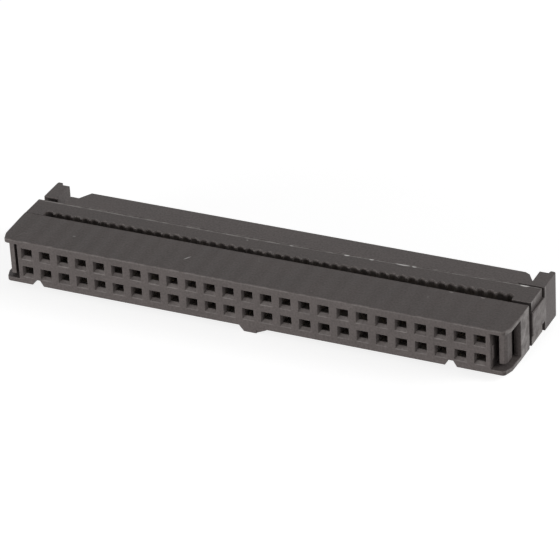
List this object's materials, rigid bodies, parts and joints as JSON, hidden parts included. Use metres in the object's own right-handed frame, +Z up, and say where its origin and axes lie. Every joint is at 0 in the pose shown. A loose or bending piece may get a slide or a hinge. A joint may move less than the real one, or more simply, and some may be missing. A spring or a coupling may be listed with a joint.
{
  "type": "idc ribbon cable socket",
  "caption": "Ribbon cable socket with rows of square pin entries, a polarising key, a press-on scalloped cable cover and a strain relief bar clipped behind it.",
  "frame": {"origin": "centre of the contact field, on the mating face", "axes": "+X along the rows, +Y from the mating face towards the cable cover, +Z up, away from the polarising key"},
  "size_m": [0.0685, 0.0153, 0.0068],
  "materials": {
    "body": "satin black moulded",
    "cover": "satin black moulded",
    "strain_relief": "satin black moulded",
    "contact": "plated copper alloy strip"
  },
  "bodies": {
    "root": {"body": "body", "cover": "cover", "strain_relief": "strain_relief", "contact_a1": "contact", "contact_a2": "contact", "contact_a3": "contact", "contact_a4": "contact", "contact_a5": "contact", "contact_a6": "contact", "contact_a7": "contact", "contact_a8": "contact", "contact_a9": "contact", "contact_a10": "contact", "contact_a11": "contact", "contact_a12": "contact", "contact_a13": "contact", "contact_a14": "contact", "contact_a15": "contact", "contact_a16": "contact", "contact_a17": "contact", "contact_a18": "contact", "contact_a19": "contact", "contact_a20": "contact", "contact_a21": "contact", "contact_a22": "contact", "contact_a23": "contact", "contact_a24": "contact", "contact_a25": "contact", "contact_b1": "contact", "contact_b2": "contact", "contact_b3": "contact", "contact_b4": "contact", "contact_b5": "contact", "contact_b6": "contact", "contact_b7": "contact", "contact_b8": "contact", "contact_b9": "contact", "contact_b10": "contact", "contact_b11": "contact", "contact_b12": "contact", "contact_b13": "contact", "contact_b14": "contact", "contact_b15": "contact", "contact_b16": "contact", "contact_b17": "contact", "contact_b18": "contact", "contact_b19": "contact", "contact_b20": "contact", "contact_b21": "contact", "contact_b22": "contact", "contact_b23": "contact", "contact_b24": "contact", "contact_b25": "contact"}
  },
  "joints": []
}
